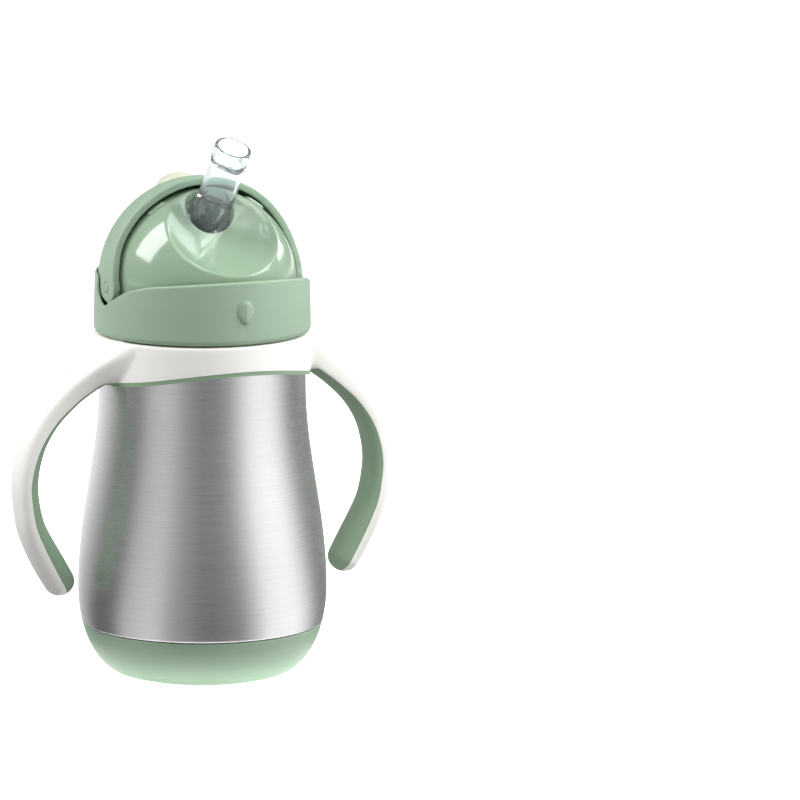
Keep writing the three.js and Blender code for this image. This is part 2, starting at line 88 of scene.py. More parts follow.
# Merges doubled corners, drops faces folded onto each other, points the rest outwards and shades smooth up
# to an angle.
def cleaned(piece, sharpAngle=38, merge=2e-6):
    work = bmesh.new()
    work.from_mesh(piece.data)
    bmesh.ops.remove_doubles(work, verts=work.verts, dist=merge)
    bmesh.ops.dissolve_degenerate(work, dist=1e-7, edges=work.edges)
    bmesh.ops.triangulate(work, faces=work.faces)
    corners = [frozenset(corner.index for corner in face.verts) for face in work.faces]
    repeated = {key for key, count in Counter(corners).items() if count > 1}
    folded = [face for face, key in zip(work.faces, corners) if key in repeated]
    bmesh.ops.delete(work, geom=folded, context="FACES")
    bmesh.ops.recalc_face_normals(work, faces=work.faces)
    work.to_mesh(piece.data)
    work.free()
    piece.data.shade_smooth()
    piece.data.set_sharp_from_angle(angle=radians(sharpAngle))
    return piece


# Bakes the modifiers of a piece into its mesh.
def settled(piece):
    graph = bpy.context.evaluated_depsgraph_get()
    mesh = bpy.data.meshes.new_from_object(piece.evaluated_get(graph))
    piece.modifiers.clear()
    piece.data = mesh
    return piece


# Joins, cuts or keeps the part shared with another solid, which is used up.
def combined(piece, other, operation):
    modifier = piece.modifiers.new("combine", "BOOLEAN")
    modifier.object, modifier.operation, modifier.solver = other, operation, "EXACT"
    settled(piece)
    bpy.data.objects.remove(other)
    return piece


# One skin of small even faces over a piece, then relaxed so that its edges and inside corners are rounded.
def relaxed(piece, voxel, rounds, factor=0.5):
    remesh = piece.modifiers.new("skin", "REMESH")
    remesh.mode, remesh.voxel_size = "VOXEL", voxel * millimetre
    smooth = piece.modifiers.new("relax", "SMOOTH")
    smooth.factor, smooth.iterations = factor, rounds
    return settled(piece)


# Quadratic arcs in place of the corners of an outline: each corner pulls an arc that starts and ends
# at its radius along both sides.
def roundedOutline(corners, radii, steps=5):
    corners = np.array(corners, float)
    before, after = np.roll(corners, 1, 0) - corners, np.roll(corners, -1, 0) - corners
    radii = np.array(radii, float)[:, None]

    def reach(side):
        length = np.linalg.norm(side, axis=1, keepdims=True)
        return corners + side / length * np.minimum(radii, 0.45 * length)

    t = np.linspace(0, 1, steps)[None, :, None]
    start, end = reach(before)[:, None], reach(after)[:, None]
    arcs = start * (1 - t) ** 2 + 2 * t * (1 - t) * corners[:, None] + end * t ** 2
    return arcs.reshape(-1, 2)


# Profile of (radius, height) carried once round the Z axis.
def turned(profile, sides=192):
    profile = np.array(profile, float)
    angle = np.linspace(0, 2 * pi, sides, endpoint=False)
    radius, height = profile[:, :1], profile[:, 1:]
    return np.stack([radius * np.cos(angle), radius * np.sin(angle), height + 0 * angle], -1)


# Points moved so that their own Z axis lies along a direction and their origin at a place.
def aimed(points, direction, place):
    axis = np.array(direction, float) / np.linalg.norm(direction)
    side = np.cross([0, 1, 0] if abs(axis[1]) < 0.9 else [1, 0, 0], axis)
    side /= np.linalg.norm(side)
    return points @ np.array([side, np.cross(axis, side), axis]) + np.array(place)


# Points of the closed hood turned back about the hinge.
def opened(points):
    c, s = cos(radians(-hoodOpening)), sin(radians(-hoodOpening))
    y, z = points[..., 1], points[..., 2] - pivot[2]
    return np.stack([points[..., 0], c * y - s * z, s * y + c * z + pivot[2]], -1)


# Smooth curve through stations: each column is a Catmull-Rom spline evaluated at shares of the whole.
def throughStations(stations, shares):
    stations = np.array(stations, float)
    padded = np.vstack([2 * stations[0] - stations[1], stations, 2 * stations[-1] - stations[-2]])
    place = np.clip(np.asarray(shares), 0, 1) * (len(stations) - 1)
    k = np.minimum(place.astype(int), len(stations) - 2)
    t = (place - k)[:, None]
    a, b, c, d = padded[k], padded[k + 1], padded[k + 2], padded[k + 3]
    curve = 2 * b + (c - a) * t + (2 * a - 5 * b + 4 * c - d) * t ** 2
    return 0.5 * (curve + (3 * b - a - 3 * c + d) * t ** 3)


# Upright block whose outline in X and Z is carried along Y.
def blockAlongY(name, outline, halfDepth):
    x, z = np.array(outline, float).T
    return prism(name, [np.stack([x, y + 0 * x, z], -1) for y in (-halfDepth, halfDepth)])


# Block whose outline in Y and Z is carried along X.
def blockAlongX(name, outline, halfWidth):
    y, z = np.array(outline, float).T
    return prism(name, [np.stack([x + 0 * y, y, z], -1) for x in (-halfWidth, halfWidth)])


# Closed prism between two equal outlines.
def prism(name, rows):
    count = len(rows[0])
    ends = [list(range(count)), list(range(2 * count - 1, count - 1, -1))]
    faces = gridFaces(2, count, False, True, 0).tolist() + ends
    block = meshObject(name, np.concatenate(rows) * millimetre, faces)
    work = bmesh.new()
    work.from_mesh(block.data)
    bmesh.ops.recalc_face_normals(work, faces=work.faces)
    work.to_mesh(block.data)
    work.free()
    return block


# Rounded box: a sphere grid whose sines and cosines are raised to a power below one.
def softBox(halfSizes, power=0.35, steps=24):
    u = np.linspace(-pi / 2, pi / 2, steps)[:, None]
    v = np.linspace(0, 2 * pi, 2 * steps, endpoint=False)[None]

    def bent(value):
        return np.sign(value) * np.abs(value) ** power

    level = bent(np.cos(u))
    shape = np.stack([level * bent(np.cos(v)), level * bent(np.sin(v)), bent(np.sin(u)) + 0 * v], -1)
    return shape * np.array(halfSizes)


def smoothStep(low, high, value):
    t = np.clip((value - low) / (high - low), 0, 1)
    return t * t * (3 - 2 * t)


# ---- finishes ----

class Nodes:
    def __init__(self, name):
        self.material = bpy.data.materials.new(name)
        self.material.use_nodes = True
        self.tree = self.material.node_tree
        self.shader = self.tree.nodes["Principled BSDF"]
        self.place = self.add("ShaderNodeTexCoord").outputs["Object"]

    def add(self, kind, **values):
        node = self.tree.nodes.new(kind)
        for key, value in values.items():
            if hasattr(node, key):
                setattr(node, key, value)
            else:
                node.inputs[key.replace("_", " ")].default_value = value
        return node

    def link(self, output, target):
        self.tree.links.new(output, target)

    # Noise over the object's own metres, stretched by a scale for each axis.
    def noise(self, scale, detail=3.0, roughness=0.5):
        mapping = self.add("ShaderNodeMapping")
        mapping.inputs["Scale"].default_value = scale
        self.link(self.place, mapping.inputs["Vector"])
        noise = self.add("ShaderNodeTexNoise", Scale=1.0, Detail=detail, Roughness=roughness)
        self.link(mapping.outputs["Vector"], noise.inputs["Vector"])
        return noise.outputs["Fac"]

    # Most of a noise lies between 0.3 and 0.7: this stretches it from low to high.
    def spread(self, noise, low, high):
        return self.ranged(noise, 0.3, 0.7, low, high)

    def ranged(self, value, low, high, newLow, newHigh):
        node = self.add("ShaderNodeMapRange")
        for key, number in zip(("From Min", "From Max", "To Min", "To Max"), (low, high, newLow, newHigh)):
            node.inputs[key].default_value = number
        self.link(value, node.inputs["Value"])
        return node.outputs["Result"]

    def mixed(self, share, first, second):
        node = self.add("ShaderNodeMix", data_type="RGBA")
        self.link(share, node.inputs[0])
        for socket, value in ((node.inputs[6], first), (node.inputs[7], second)):
            if isinstance(value, tuple):
                socket.default_value = (*value, 1)
            else:
                self.link(value, socket)
        return node.outputs[2]

    def bump(self, height, strength, distance):
        node = self.add("ShaderNodeBump", Strength=strength, Distance=distance)
        self.link(height, node.inputs["Height"])
        self.link(node.outputs["Normal"], self.shader.inputs["Normal"])


# Linear colour of a paint given as red, green and blue out of 255.
def paint(*levels):
    shares = [level / 255 for level in levels]
    return tuple(c / 12.92 if c <= 0.04045 else ((c + 0.055) / 1.055) ** 2.4 for c in shares)


# Scales are in waves per metre, depths in metres, edge is the range of pointiness that wears.
moulding = {"cloudScale": 55, "smearScale": (140, 140, 60), "edge": (0.57, 0.68), "grainDepth": 0.00004,
            "coatGloss": 0.04}


# Moulded plastic or rubber: cloudy colour, paler worn edges, fine moulded grain and uneven gloss.
def mouldedFinish(name, values):
    made = Nodes(name)
    shader = made.shader
    base = np.array(paint(*values["colour"]))
    cloud = made.spread(made.noise((moulding["cloudScale"],) * 3, 4), 0, 1)
    body = made.mixed(cloud, tuple(base * (1 - values["cloud"])), tuple(base * (1 + values["cloud"])))
    bend = made.add("ShaderNodeNewGeometry").outputs["Pointiness"]
    edge = made.ranged(bend, *moulding["edge"], 0, values["wear"])
    made.link(made.mixed(edge, body, tuple(np.minimum(1, base * 1.25 + 0.03))), shader.inputs["Base Color"])
    smear = made.noise(moulding["smearScale"], 5, 0.6)
    low, high = values["gloss"] - values["uneven"], values["gloss"] + values["uneven"]
    made.link(made.spread(smear, low, high), shader.inputs["Roughness"])
    made.bump(made.noise((values["grain"],) * 3, 2), values["relief"], moulding["grainDepth"])
    shader.inputs["Specular IOR Level"].default_value = values["shine"]
    shader.inputs["Coat Weight"].default_value = values.get("coat", 0)
    shader.inputs["Coat Roughness"].default_value = moulding["coatGloss"]
    return made.material


sageMatte = {"colour": (154, 178, 155), "cloud": 0.02, "wear": 0.35, "gloss": 0.48, "uneven": 0.05,
             "grain": 5200, "relief": 0.35, "shine": 0.4}
sageGloss = {"colour": (150, 175, 149), "cloud": 0.02, "wear": 0.2, "gloss": 0.16, "uneven": 0.03,
             "grain": 900, "relief": 0.04, "shine": 0.5, "coat": 0.6}
sageSoft = {"colour": (137, 163, 135), "cloud": 0.03, "wear": 0.3, "gloss": 0.58, "uneven": 0.06,
            "grain": 4200, "relief": 0.4, "shine": 0.35}
creamShell = {"colour": (249, 248, 243), "cloud": 0.012, "wear": 0.2, "gloss": 0.36, "uneven": 0.05,
              "grain": 3800, "relief": 0.2, "shine": 0.45}
knobCream = {"colour": (208, 211, 188), "cloud": 0.02, "wear": 0.2, "gloss": 0.34, "uneven": 0.05,
             "grain": 3000, "relief": 0.15, "shine": 0.5}


# Brushed steel: hair lines that run round the cup, as noise squeezed along Z, in tone, gloss and relief.
def brushedSteel(name, values):
    made = Nodes(name)
    shader = made.shader
    gloss, contrast = values["gloss"], values["contrast"]
    coarse = made.noise((values["along"],) * 2 + (values["across"],), 6, 0.7)
    fine = made.noise((values["along"] * 3,) * 2 + (values["across"] * 3.3,), 3, 0.6)
    tone = made.ranged(coarse, 0.32, 0.68, 0, 1)
    dark, light = (tuple(np.array(values["metal"]) * k) for k in (1 - contrast, 1 + contrast))
    made.link(made.mixed(tone, dark, light), shader.inputs["Base Color"])
    made.link(made.spread(fine, gloss - 0.05, gloss + 0.06), shader.inputs["Roughness"])
    made.bump(fine, values["relief"], values["depth"])
    shader.inputs["Metallic"].default_value = 1
    shader.inputs["Anisotropic"].default_value = values["anisotropy"]
    tangent = made.add("ShaderNodeTangent", direction_type="RADIAL", axis="Z")
    made.link(tangent.outputs["Tangent"], shader.inputs["Tangent"])
    return made.material


steelLook = {"metal": (0.74, 0.74, 0.745), "along": 34, "across": 4600, "contrast": 0.06, "gloss": 0.3,
             "relief": 0.25, "depth": 0.00002, "anisotropy": 0.65}


# Clear silicone: bends light, faintly cloudy, with a soft uneven surface.
def clearSilicone(name, values):
    made = Nodes(name)
    shader = made.shader
    tint, gloss = values["tint"], values["gloss"]
    haze = made.spread(made.noise((values["hazeScale"],) * 3, 3), 0, 1)
    pale = tuple(np.minimum(1, np.array(tint) * 1.03))
    made.link(made.mixed(haze, tint, pale), shader.inputs["Base Color"])
    smear = made.noise((values["smearScale"],) * 3, 4)
    made.link(made.spread(smear, gloss - 0.02, gloss + 0.03), shader.inputs["Roughness"])
    made.bump(made.noise((values["waveScale"],) * 3, 2), 0.1, values["waveDepth"])
    shader.inputs["Transmission Weight"].default_value = values["clear"]
    shader.inputs["IOR"].default_value = values["bend"]
    return made.material


siliconeLook = {"tint": (0.91, 0.955, 0.975), "gloss": 0.06, "bend": 1.29, "clear": 0.93, "hazeScale": 180,
                "smearScale": 420, "waveScale": 260, "waveDepth": 0.00008}

finish = {
    "sage_matte": mouldedFinish("sage matte", sageMatte),
    "sage_gloss": mouldedFinish("sage gloss", sageGloss),
    "sage_soft": mouldedFinish("sage grip", sageSoft),
    "cream_plastic": mouldedFinish("cream shell", creamShell),
    "knob_plastic": mouldedFinish("knob cream", knobCream),
    "steel": brushedSteel("brushed steel", steelLook),
    "silicone": clearSilicone("clear silicone", siliconeLook),
    "getter_metal": brushedSteel("dull pellet", dict(steelLook, metal=(0.2, 0.21, 0.22), gloss=0.6)),
}


# Gives a piece the finish of a slot and the body it moves with, and hides the CAD nodes it stands for.
def placed(piece, body, slot, *nodes):
    piece.data.materials.clear()
    piece.data.materials.append(finish[slot])
    if nodes:
        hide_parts(*nodes)
    if body:
        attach(piece, body)
    return piece


# ---- body and base ----

bodyShape = {"foot": 24.0, "belly": 39.2, "bellyHeight": 27.0, "necked": 32.4, "neckedHeight": 93.0,
             "shoulder": 99.7, "neck": 26.2, "neckFoot": 100.4, "mouth": 107.2, "wall": 0.6,
             "capHeight": 16.0, "capWall": 2.2}


# Outside radius: a quarter ellipse up to the belly, then half a cosine wave to the straight top.
def bodyRadius(z):
    shape = bodyShape
    share = np.clip(1 - z / shape["bellyHeight"], 0, 1)
    low = shape["foot"] + (shape["belly"] - shape["foot"]) * np.sqrt(np.maximum(0, 1 - share ** 2))
    wave = np.clip((z - shape["bellyHeight"]) / (shape["neckedHeight"] - shape["bellyHeight"]), 0, 1)
    high = shape["necked"] + (shape["belly"] - shape["necked"]) * 0.5 * (1 + np.cos(pi * wave))
    return np.where(z < shape["bellyHeight"], low, high)


def bodyLine(low, high, count, inset=0.0):
    z = np.linspace(low, high, count)
    return np.stack([bodyRadius(z) - inset, z], -1)


def steelBody():
    shape = bodyShape
    low = shape["capHeight"] + 0.25
    shoulder = roundedOutline([(shape["necked"], shape["shoulder"] - 2), (shape["necked"], shape["shoulder"]),
                               (shape["neck"], shape["neckFoot"]), (shape["neck"], shape["mouth"]),
                               (shape["neck"] - shape["wall"], shape["mouth"]),
                               (shape["neck"] - shape["wall"], shape["neckFoot"] - 0.6),
                               (shape["necked"] - shape["wall"], shape["shoulder"] - 0.6),
                               (shape["necked"] - shape["wall"], shape["shoulder"] - 2)],
                              [0.1, 0.4, 0.3, 0.2, 0.2, 0.3, 0.4, 0.1])
    outside = bodyLine(low + 0.35, shape["neckedHeight"], 90)
    edge = [(bodyRadius(low) - 0.35, low), (bodyRadius(low) - 0.1, low + 0.1)]
    inside = bodyLine(low, shape["neckedHeight"], 60, shape["wall"])[::-1]
    shell = turned(np.vstack([edge, outside, shoulder, inside]), 256)
    turns, count, ridge = 0.75, 120, 1.0
    t = np.linspace(0, 1, count)[:, None]
    around = np.linspace(0, 2 * pi, 12, endpoint=False)[None]
    fade = np.sqrt(np.maximum(0, 1 - (2 * t - 1) ** 10))          # the ridge tapers to nothing at its ends
    angle = 2 * pi * turns * t
    radius = shape["neck"] - 0.15 + ridge * fade * np.cos(around) * 0.85
    height = shape["neckFoot"] + 3.2 + 3 * t + ridge * fade * np.sin(around)
    thread = np.stack([radius * np.cos(angle), radius * np.sin(angle), height], -1)
    piece = surfaceObject("steelBody", [(shell, True, True), (thread, False, True)])
    return placed(piece, "cup", "steel", "outer_shell")


def baseBoot():
    shape = bodyShape
    top = shape["capHeight"]
    outside = bodyLine(1.2, top - 0.3, 40)
    foot = [(0.0, 0.5), (17.5, 0.5), (18.3, 0.0), (23.6, 0.0), (24.6, 0.12)]
    lip = [(bodyRadius(top) - 0.12, top - 0.1), (bodyRadius(top) - 0.4, top), (bodyRadius(top) - 1.9, top)]
    inside = bodyLine(2.4, top - 0.3, 30, shape["capWall"])[::-1]
    profile = np.vstack([foot, outside, lip, inside, [(0.0, 2.4)]])
    piece = surfaceObject("baseBoot", [(turned(profile, 256), True, True)], 50)
    return placed(piece, "cup", "sage_matte", "base_cap")


steelBody()
baseBoot()
print("stage: body and base")

# ---- handle ring and grip ----

handleShape = {"ringRadius": 33.9, "ringTop": 108.25, "ringBore": 32.7, "ringFoot": 93.2, "frontEdge": 100.4,
               "sideDrop": 5.4, "gripEdge": 1.3, "gripReach": 34.7, "seamStart": 35.6, "seamReach": 33.7,
               "seamStep": 0.1, "tipAside": 6, "tipDrop": 10.4, "voxel": 0.5, "relax": 10}
# Stations from the ring to the tip: spine X and Z, half thickness, half width, seam outside the spine, and
# the power of the section (2 is an ellipse, more is squarer).
handleStations = [
    (28.6, 102.0, 7.4, 16.5, -6.2, 5.0), (33.2, 100.1, 5.2, 12.0, -4.2, 4.6),
    (37.5, 97.5, 4.2, 8.6, -2.7, 4.2), (42.1, 94.2, 4.0, 7.0, -2.35, 3.8), (46.6, 90.5, 3.9, 6.3, -2.1, 3.4),
    (52.4, 84.5, 3.75, 6.0, -1.6, 3.0), (56.8, 77.5, 3.7, 6.0, -1.0, 2.7), (59.05, 70.5, 3.7, 6.0, -0.4, 2.5),
    (59.95, 63.5, 3.75, 6.0, 0.0, 2.4), (59.4, 57.0, 3.85, 6.0, 0.05, 2.4), (58.1, 50.5, 4.2, 6.0, 0.1, 2.4),
    (55.5, 44.5, 4.6, 5.9, 0.2, 2.4), (52.3, 38.5, 4.9, 5.8, 0.35, 2.3), (48.7, 32.4, 4.85, 5.6, 0.6, 2.2)]


# Height of the ring's lower edge: highest in front, lower towards the handles.
def ringEdge(x):
    shape = handleShape
    share = np.minimum(np.abs(x), shape["ringRadius"]) / shape["ringRadius"]
    return shape["frontEdge"] - shape["sideDrop"] * share ** 2


# Spine, its normal away from the cup, and the other station values, at equal shares of the handle.
def handleSpine(count):
    values = throughStations(handleStations, np.linspace(0, 1, count))
    along = np.gradient(values[:, :2], axis=0)
    along /= np.linalg.norm(along, axis=1, keepdims=True)
    return values[:, :2], np.stack([-along[:, 1], along[:, 0]], -1), along, values[:, 2:]


# Handle as superellipse sections across the spine, closed by a round tip that shrinks like a quarter circle.
def handleBlank():
    spine, normal, along, values = handleSpine(150)
    cap = np.linspace(0, pi / 2, 14)[1:]
    spine = np.vstack([spine, spine[-1] + along[-1] * values[-1, 0] * np.sin(cap)[:, None]])
    normal = np.vstack([normal, np.repeat(normal[-1:], len(cap), 0)])
    half = np.concatenate([values[:, 0], values[-1, 0] * np.cos(cap)])[:, None]
    width = np.concatenate([values[:, 1], values[-1, 1] * np.cos(cap)])[:, None]
    angle = np.linspace(0, 2 * pi, 64, endpoint=False)[None]
    power = 2 / np.concatenate([values[:, 3], np.repeat(values[-1:, 3], len(cap))])[:, None]
    across = half * np.sign(np.cos(angle)) * np.abs(np.cos(angle)) ** power
    aside = width * np.sign(np.sin(angle)) * np.abs(np.sin(angle)) ** power
    x = spine[:, :1] + normal[:, :1] * across
    z = spine[:, 1:] + normal[:, 1:] * across
    root = spine[0][None, :] + 0 * angle.T
    start = np.stack([root[:, 0], 0 * root[:, 0], root[:, 1]], -1)[None]
    return np.concatenate([start, np.stack([x, aside, z], -1)])


# Whole moulding before it is split: ring band and both handles under one relaxed skin.
def handleMoulding():
    shape = handleShape
    arm = handleBlank()
    outer, bore, top, low = shape["ringRadius"], shape["ringBore"], shape["ringTop"], shape["ringFoot"]
    band = turned([(outer, top), (29.8, top), (29.8, 102.2), (27.6, 102.2), (27.6, 100.7), (bore, 97.6),
                   (bore, low), (outer, low)], 200)
    grids = [(arm, False, True), (arm * [-1, 1, 1], False, True), (band, True, True)]
    return relaxed(surfaceObject("handleMoulding", grids), shape["voxel"], shape["relax"])


# Seam between shell and grip as X and Z, from the left tip over the ring's edge to the right tip.
def seamPath(shift):
    spine, normal, along, values = handleSpine(90)
    seam = spine + normal * (values[:, 2:3] + shift)
    seam = seam[seam[:, 0] > handleShape["seamStart"]]
    x = np.linspace(-handleShape["seamReach"], handleShape["seamReach"], 60)
    middle = np.stack([x, ringEdge(x) + shift], -1)
    return np.vstack([(seam * [-1, 1])[::-1], middle, seam])


# Seam with its two ends carried inwards and down past the tips, to the given height.
def seamWithEnds(shift, low):
    aside, drop = handleShape["tipAside"], handleShape["tipDrop"]
    path = seamPath(shift)
    (leftX, leftZ), (rightX, rightZ) = path[0], path[-1]
    right = [(rightX - aside, rightZ - drop), (rightX - aside, low)]
    left = [(leftX + aside, low), (leftX + aside, leftZ - drop)]
    return path, right, left


def handlePieces():
    shape = handleShape
    shell = handleMoulding()
    grip = shell.copy()
    grip.data = shell.data.copy()
    grip.name = "softGrip"
    shell.name = "handleShell"
    bpy.context.scene.collection.objects.link(grip)
    path, right, left = seamWithEnds(0, 0)
    outline = np.vstack([path, right, [(90, 0), (90, 125), (-90, 125), (-90, 0)], left])
    combined(shell, blockAlongY("above seam", outline, 60), "INTERSECT")
    inset = grip.modifiers.new("inset", "DISPLACE")
    inset.mid_level, inset.strength = 0, -shape["seamStep"] * millimetre
    settled(grip)
    reach = shape["gripReach"]
    path, right, left = seamWithEnds(-0.04, 10)
    x = np.linspace(reach, -reach, 40)
    edge = np.stack([x, ringEdge(x) - shape["gripEdge"]], -1)
    outline = np.vstack([path, right, [(reach, 10)], edge, [(-reach, 10)], left])
    combined(grip, blockAlongY("below seam", outline, 60), "INTERSECT")
    for piece in (shell, grip):
        cleaned(piece, 42, 2e-5)
    placed(shell, "cup", "cream_plastic", "handle_ring")
    placed(grip, "cup", "sage_soft", "grip_liner")


handlePieces()
print("stage: handles")

# ---- collar ----

hoodShape = {"halfWidth": 32.6, "radius": 33.2, "wall": 2.3, "rearEdge": 3.2, "voxel": 0.36, "relax": 5,
             "pinHole": 1.85, "pinDepth": 0.6}
collarShape = {"bottom": 108.6, "radius": 34.0, "midRadius": 33.8, "topRadius": 33.35, "bore": 31.4,
               "slope": 7.8, "armTip": 5.3, "gap": 0.42, "swingGap": 0.3, "bulge": 1.02, "ledge": 29.8,
               "ledgeTop": 109.6, "groove": 0.045, "grooveWidth": 0.0022}


# Line between hood and collar seen from the side, as Y and Z from the hinge, front to rear, moved down.
def seamLine(drop):
    rise = tan(radians(collarShape["slope"]))
    tip = collarShape["armTip"] + drop
    turn = np.radians(np.linspace(226, 338, 22))
    arc = np.stack([tip * np.cos(turn), tip * np.sin(turn)], -1)
    front = [(-37, 37 * rise), (-30, 30 * rise), (-25, 25 * rise), (-21, 21 * rise - 0.02), (-17.5, 2.05),
             (-14.5, 1.2), (-12, 0.25), (-9.6, -0.95), (-7.4, -2.15), (-5.4, -3.2)]
    front = np.array(front) - [0, drop]
    return np.vstack([throughStations(front, np.linspace(0, 1, 60)), arc])


# Top of the collar over the hinge height at each Y: under the seam in front, up the ear behind.
def collarTop(y):
    shape = collarShape
    line = seamLine(shape["gap"])
    ear = np.array([(5.5, -1.8), (5.66, -0.4), (5.9, 0.9), (6.4, 2.0), (7.2, 2.75), (8.4, 3.1), (10.0, 3.2),
                    (14.0, 3.3), (20.0, 3.6), (28.0, 3.9), (40.0, 4.0)])
    path = np.vstack([line, ear])
    path = path[np.argsort(path[:, 0], kind="stable")]
    return np.interp(y, path[:, 0], path[:, 1])


# Angles round the collar, closer together at the notches and at the front line.
def collarAngles():
    close = np.radians(np.arange(-17, 17, 0.16))
    front = np.radians(np.arange(-96, -84, 0.35))
    line = -pi / 2 + np.array([-0.006, -0.0035, -0.002, 0.0, 0.002, 0.0035, 0.006])
    wide = np.radians(np.arange(-180, 180, 1.5))
    angles = np.mod(np.concatenate([close, close + pi, front, line, wide]), 2 * pi)
    angles = np.unique(np.round(angles, 5))
    return angles[np.concatenate([[True], np.diff(angles) > 0.0008])]


# Wall carried round the cup: outside and inside radii follow the height, the top follows the seam.
def lidCollar():
    shape = collarShape
    angle = collarAngles()[None]
    bottom = shape["bottom"]

    def outsideRadius(z):
        return np.interp(z, [bottom, 110.4, 120.0, 129.6],
                         [shape["radius"], shape["radius"], shape["midRadius"], shape["topRadius"]])

    y = shape["midRadius"] * np.sin(angle)
    top = pivot[2] + collarTop(y)
    ball = hoodShape["radius"] + shape["swingGap"]
    share = np.concatenate([np.linspace(0.06, 0.97, 44), [0.985]])[:, None]
    z = bottom + 1.6 + (top - 0.45 - bottom - 1.6) * (share - 0.06) / 0.925
    groove = shape["groove"] * np.exp(-((angle - 1.5 * pi) / shape["grooveWidth"]) ** 2)
    outer = outsideRadius(z) - groove
    rearward = smoothStep(-7.6, -5.4, y)

    # Bore in front, and behind it the ball that the hood sweeps.
    def insideRadius(height):
        level = np.sqrt(np.maximum(0, ball ** 2 - (height - pivot[2]) ** 2))
        swing = level * (hoodShape["halfWidth"] + shape["swingGap"]) / ball
        return shape["bore"] + rearward * np.maximum(0, swing - shape["bore"])

    topOuter = outsideRadius(top) - groove
    foot = [(2.0, 0.0), (1.25, 0.06), (0.6, 0.35), (0.18, 0.85)]      # rounded lower edge, in and up
    rows = [(outsideRadius(bottom) - inset, bottom + rise + 0 * y) for inset, rise in foot]
    rows += [(outer[k:k + 1], z[k:k + 1]) for k in range(len(z))]
    rows += [(topOuter - 0.06, top - 0.22), (topOuter - 0.2, top - 0.07), (topOuter - 0.42, top + 0 * y)]
    inTop = insideRadius(top)
    lip = np.minimum(inTop + 0.3, topOuter - 0.5)
    rows += [(lip, top), (np.minimum(inTop + 0.08, lip - 0.05), top - 0.12)]
    for k in np.linspace(0.96, 0.02, 26):
        height = shape["ledgeTop"] + (top - 0.4 - shape["ledgeTop"]) * k
        rows.append((insideRadius(height), height))
    ledge = [(shape["bore"], shape["ledgeTop"]), (shape["ledge"], shape["ledgeTop"]),
             (shape["ledge"], bottom)]
    rows += [(r + 0 * y, h + 0 * y) for r, h in ledge]
    radius = np.concatenate([np.broadcast_to(r, angle.shape) for r, _ in rows])
    height = np.concatenate([np.broadcast_to(h, angle.shape) for _, h in rows])
    yy = radius * np.sin(angle)
    yy = np.where(yy > 0, yy * shape["bulge"], yy)
    wall = np.stack([radius * np.cos(angle), yy, height], -1)
    piece = surfaceObject("lidCollar", [(wall, True, True), (dropMark(), False, True)], 50)
    return placed(piece, "lid", "sage_matte", "lid_collar")


dropShape = {"width": 5.6, "height": 7.6, "rise": 1.15, "centre": 118.9}


# Raised drop: rings shrink from its outline to the middle while the height rises, with a keel down it.
def dropMark():
    shape = dropShape
    around = np.linspace(0, 2 * pi, 96, endpoint=False)[None]
    t = np.linspace(0, 1, 16)[:, None]
    half, tall = shape["width"] / 2, shape["height"] / 2
    outlineX = half * np.cos(around) * (1 - 0.32 * np.sin(-around).clip(0) ** 1.3)
    outlineZ = tall * np.sin(around)
    size = 1 - t
    x, z = outlineX * size, outlineZ * size
    keel = 1 - np.abs(x) / half
    lift = shape["rise"] * (1 - size ** 9) * (0.5 + 0.5 * keel)
    ring = collarShape["midRadius"] - 0.02
    front = np.stack([x, -np.sqrt((ring + lift) ** 2 - x ** 2), z + shape["centre"]], -1)
    back = np.stack([outlineX, -np.sqrt((ring - 0.8) ** 2 - outlineX ** 2), outlineZ + shape["centre"]], -1)
    middle = np.array([[[0, -(ring - 0.8), shape["centre"]]]]) + 0 * back
    return np.concatenate([middle, back, front])


lidCollar()
print("stage: collar")

# ---- drinking dome ----

domeShape = {"radius": 29.4, "wall": 2.0, "dishRadius": 33.1, "dishY": -34.0, "dishZ": 38.5, "softness": 0.9,
             "holeRadius": 7.0, "holeY": -5.3, "holeZ": 22.0, "holeTilt": 60.5, "flange": 31.1}
spoutHole = pivot + [0, domeShape["holeY"], domeShape["holeZ"]]
holeAxis = np.array([0, -sin(radians(domeShape["holeTilt"])), cos(radians(domeShape["holeTilt"]))])


# Distance from the hinge centre to the skin along each direction: the nearer of the ball and the dish,
# with a soft edge between them.
def domeReach(direction, inset=0.0):
    shape = domeShape
    ball = shape["radius"] - inset
    dishRadius = shape["dishRadius"] + inset
    centre = np.array([0, shape["dishY"], shape["dishZ"]])
    toward = direction @ centre
    inside = toward ** 2 - (centre @ centre - dishRadius ** 2)
    near = toward - np.sqrt(np.maximum(inside, 0))
    dish = np.where(inside > 0, near, toward + 3 * np.sqrt(np.maximum(-inside, 0)))
    soft = shape["softness"]
    blend = np.clip(0.5 + 0.5 * (dish - ball) / (2 * soft), 0, 1)
    return dish + (ball - dish) * blend - 2 * soft * blend * (1 - blend)


